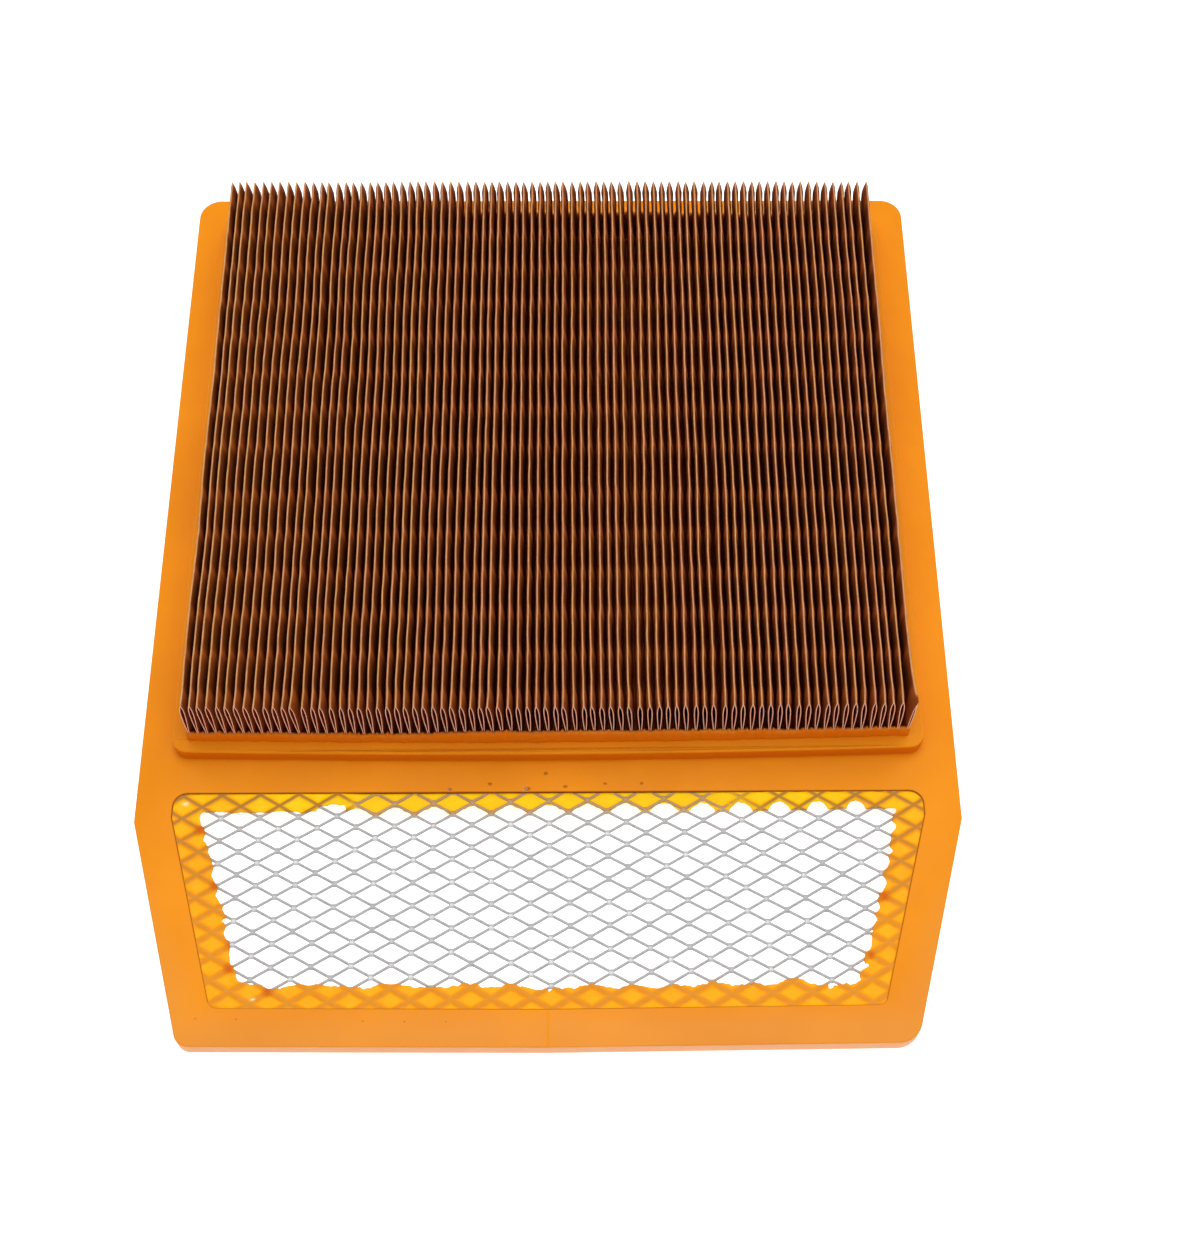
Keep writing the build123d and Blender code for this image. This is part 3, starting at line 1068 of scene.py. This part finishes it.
def build_paper(name, sheet, first, last, inner_stride=5):
    """The sheet between two of its rows. Its hidden lower face needs fewer points."""
    skins, share_rows, tone_rows, band_row = sheet
    row_count = len(band_row)
    vertices, faces = [], []
    values = {"share": [], "tone": [], "band": [], "cut": [], "inner": []}

    def add_vertex(skin, i, j, cut):
        vertices.append(tuple(axis[i, j] for axis in skins[skin]))
        amounts = (share_rows[i], tone_rows[i], band_row[j] * (1 - cut), cut, float(skin))
        for key, amount in zip(values, amounts):
            values[key].append(amount)

    for skin, stride in ((0, 1), (1, inner_stride)):
        rows = range(0, row_count, stride)
        start = len(vertices)
        for i in range(first, last + 1):
            for j in rows:
                add_vertex(skin, i, j, 0.0)
        for i in range(last - first):
            for j in range(len(rows) - 1):
                a = start + i * len(rows) + j
                b = a + len(rows)
                faces.append((a, a + 1, b + 1, b) if skin == 0 else (a, b, b + 1, a + 1))
    for j in (0, row_count - 1):
        start = len(vertices)
        for i in range(first, last + 1):
            add_vertex(0, i, j, 1.0)
            add_vertex(1, i, j, 1.0)
        for i in range(last - first):
            a = start + 2 * i
            faces.append((a, a + 2, a + 3, a + 1) if j == 0 else (a, a + 1, a + 3, a + 2))
    piece = make_object(name, vertices, faces, paper_paint)
    for key, amounts in values.items():
        point_attribute(piece, key, amounts)
    return piece


sheet = fold_sheet(105)
last_row = len(sheet[1]) - 1
middle_row = (last_row + 1) // 2
paper_left = build_paper("folded_paper_left", sheet, 0, middle_row)
paper_right = build_paper("folded_paper_right", sheet, middle_row, last_row)


# ---- potting strips
def crest_height(xs, highest):
    """Height of a strip's crest along its length: full in the middle, lower towards both ends."""
    places = (-118, -80, -40, -24, 0, 40, 60, 118)
    drops = (2.6, 2.4, 2.2, 0.6, 0.5, 0.6, 1.5, 2.0)
    return highest - np.interp(xs, places, drops)


def build_strip(name, low, high, outward, seed):
    """A cast strip along the pleats' ends: waved face, rough crest, small peaks between pleats."""
    rng = random.Random(seed)
    step = 0.25
    xs = np.arange(low[0], high[0] + step / 2, step)
    foot = low[2]
    slow = wave_noise(seed + 1, 5, 70, 12)
    fast = wave_noise(seed + 2, 4, 5.5, 1.4)
    crest = crest_height(xs, high[2]) + 0.3 * slow(xs) + 0.2 * fast(xs)
    for index in range(pleat_count + 1):
        peak_x = (index - pleat_count / 2) * pleat_pitch + rng.uniform(-0.5, 0.5)
        peak = rng.choice((0.2, 0.4, 0.7, 1.1, 1.5)) * rng.uniform(0.7, 1.0)
        crest = crest + peak * bell(xs - peak_x, rng.uniform(0.28, 0.5))
    outer_y, depth = low[1] if outward < 0 else high[1], high[1] - low[1]
    face_wave = 0.12 * wave_noise(seed + 3, 5, 22, 3.0)(xs)
    # share of the thickness from the outer face, and share of the height, round the section
    section = [
        (0.0, 0.0), (0.0, 0.3), (0.03, 0.62), (0.08, 0.84), (0.2, 0.94), (0.42, 0.99),
        (0.7, 1.0), (1.0, 0.975), (1.35, 0.93), (1.6, 0.84), (1.6, 0.0),
    ]
    vertices, faces = [], []
    for x, top, wave in zip(xs, crest, face_wave):
        for across, up in section:
            waved = 0 < up < 0.97 and across < 0.5
            y = outer_y - outward * depth * across - outward * wave * waved
            if outward < 0:
                y += float(front_sag(x, y))
            vertices.append((x, y, foot + (top - foot) * up))
    n = len(section)
    for i in range(len(xs) - 1):
        for k in range(n):
            a, b = i * n + k, i * n + (k + 1) % n
            faces.append((a, b, b + n, a + n))
    faces += [tuple(reversed(range(n))), tuple(range(len(vertices) - n, len(vertices)))]
    if outward > 0:
        faces = [tuple(reversed(face)) for face in faces]
    return make_object(name, vertices, faces, potting_paint)


front_strip = build_strip("front_potting", strip_low, strip_high, -1, 81)
back_strip = build_strip("back_potting", back_strip_low, back_strip_high, 1, 91)


# ---- what each piece belongs to
pieces = (
    (casting, "cast_polyurethane", "moulded_frame"),
    (witness, "cast_polyurethane", None),
    (web, "cast_polyurethane", None),
    (strands, "galvanised_steel", "expanded_screen"),
    (cut_ends, "galvanised_steel", None),
    (torn_rims, "cast_polyurethane", None),
    (paper_left, "filter_paper", "pleated_paper"),
    (paper_right, "filter_paper", "pleated_paper"),
    (front_strip, "potting_polyurethane", "front_potting_strip"),
    (back_strip, "potting_polyurethane", "back_potting_strip"),
)
for piece, slot_name, node in pieces:
    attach(piece, ROOT)
    if node:
        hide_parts(node)


# ---- floor, light and camera
def build_floor():
    """A plain pale floor, glowing as bright as a light table, with a painted shadow under the pack
    where the glow stops.
    """
    half_size, floor_z, glow, edge = 4000, -0.1, 0.8, 3
    material, tree = new_material("pale_floor", 0.9, specular=0.1)
    shader = tree.nodes["Principled BSDF"].inputs
    pale = add_tones(tree, add_noise(tree, 3), (0.69, 0.69, 0.69), (0.71, 0.71, 0.71))
    tree.links.new(pale, shader["Base Color"])
    place = add_split(tree, tree.nodes.new("ShaderNodeTexCoord").outputs["Object"])
    middle_y = (paper_low[1] + paper_high[1]) / 2
    half_depth = (paper_high[1] - paper_low[1]) / 2
    outside = []
    for axis, middle, reach in (("X", 0.0, seat_half), ("Y", middle_y, half_depth)):
        away = add_math(tree, "ABSOLUTE", add_math(tree, "SUBTRACT", place[axis], middle * MM))
        outside.append(add_range(tree, away, (reach - edge) * MM, (reach + edge) * MM))
    # painted shadow: the glow stops under the pack's footprint
    strength = add_range(tree, add_math(tree, "MAXIMUM", *outside), 0, 1, 0.0, glow)
    shader["Emission Color"].default_value = (1, 1, 1, 1)
    tree.links.new(strength, shader["Emission Strength"])
    corners = [(x, y, floor_z) for x, y in rectangle(half_size, -half_size, half_size)]
    make_object("floor", corners, [(0, 1, 2, 3)], material)


def add_area(name, location, size, power):
    """A square soft light aimed at the frame's origin; place and size in millimetres."""
    light = bpy.data.lights.new(name, "AREA")
    light.size = size * MM
    light.energy = power
    lamp = add_object(name, light)
    lamp.location = Vector(location) * MM
    lamp.rotation_euler = (-Vector(location)).to_track_quat("-Z", "Y").to_euler()


def add_camera():
    """The photograph's viewing angle: 62 degrees down, slightly turned and rolled."""
    pitch, turn, roll = math.radians(62), math.radians(1.371), math.radians(-1.0105)
    place = Vector((9.56, taper_y - 243.1, flange_top + 597.49)) * MM
    level = Vector((math.cos(turn), -math.sin(turn), 0))
    ahead = Vector((math.sin(turn), math.cos(turn), 0))
    forward = math.cos(pitch) * ahead - math.sin(pitch) * Vector((0, 0, 1))
    down = forward.cross(level)
    right = math.cos(roll) * level + math.sin(roll) * down
    down = -math.sin(roll) * level + math.cos(roll) * down
    data = bpy.data.cameras.new("camera")
    data.sensor_width = 36
    data.lens = 57.9
    data.clip_start = 0.01
    camera = add_object("camera", data)
    axes = Matrix((right, -down, -forward)).transposed()
    camera.matrix_world = Matrix.Translation(place) @ axes.to_4x4()
    bpy.context.scene.camera = camera


build_floor()
add_area("top_light", (60, 350, 1500), 1400, 19)
add_area("front_light", (300, -900, 900), 900, 1.2)
world = bpy.data.worlds.new("soft_sky")
world.use_nodes = True
sky = world.node_tree.nodes["Background"].inputs
sky["Color"].default_value = (1, 1, 1, 1)
sky["Strength"].default_value = 0.5
bpy.context.scene.world = world
bpy.context.scene.view_settings.view_transform = "Standard"
add_camera()
